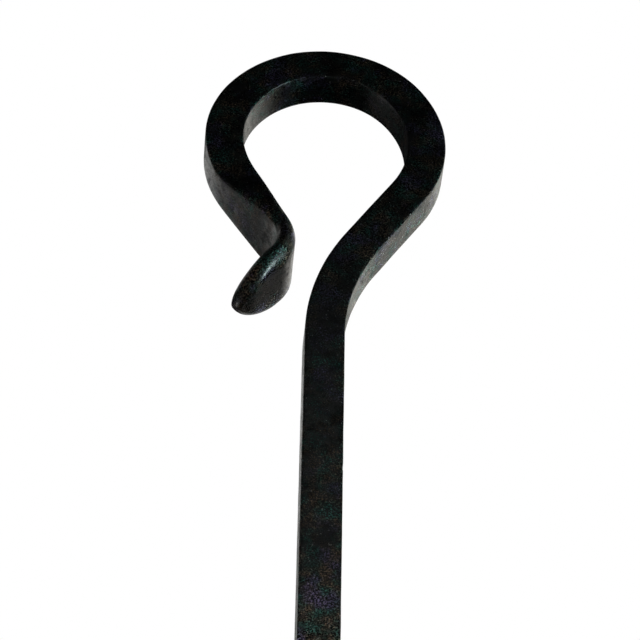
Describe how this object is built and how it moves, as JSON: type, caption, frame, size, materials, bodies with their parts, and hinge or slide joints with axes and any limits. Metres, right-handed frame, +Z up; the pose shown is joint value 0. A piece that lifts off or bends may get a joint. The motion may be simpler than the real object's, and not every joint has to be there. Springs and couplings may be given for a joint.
{
  "type": "cockspur window handle",
  "caption": "Black forged casement fastener: square-bar crook handle and spur turn on a riveted back plate; the spur drops into a separate upward hook plate.",
  "frame": {"origin": "on the pivot axis, in the plane of the back plate's fixing face", "axes": "+Z up the handle towards the crook, +X along the spur towards the window frame, +Y into the window (the fixing faces' normal); the front looks towards -Y"},
  "size_m": [0.0564, 0.0344, 0.1786],
  "materials": {
    "forged_iron": "black waxed paint over hand-forged iron, satin, edges slightly rubbed",
    "plate_iron": "black waxed paint over hammered iron plate, satin",
    "screw_black": "blackened steel, satin",
    "brass_washer": "turned, dull",
    "spring_steel": "oiled spring steel"
  },
  "bodies": {
    "fastener_base": {"back_plate": "plate_iron", "pivot_pin": "forged_iron", "bearing_washer": "brass_washer", "spring_washer": "spring_steel", "front_washer": "plate_iron", "plate_screw_1": "screw_black", "plate_screw_2": "screw_black", "plate_screw_3": "screw_black", "plate_screw_4": "screw_black", "hook_plate": "plate_iron", "keep_screw_1": "screw_black", "keep_screw_2": "screw_black"},
    "handle": {"crook_handle": "forged_iron", "spur_hub": "forged_iron", "tenon_pin": "forged_iron"}
  },
  "joints": [
    {"name": "handle_turn", "type": "hinge", "parent": "fastener_base", "child": "handle", "pos_m": [0, 0, 0], "axis": [0, -1, 0], "range_deg": [0, 180]}
  ]
}
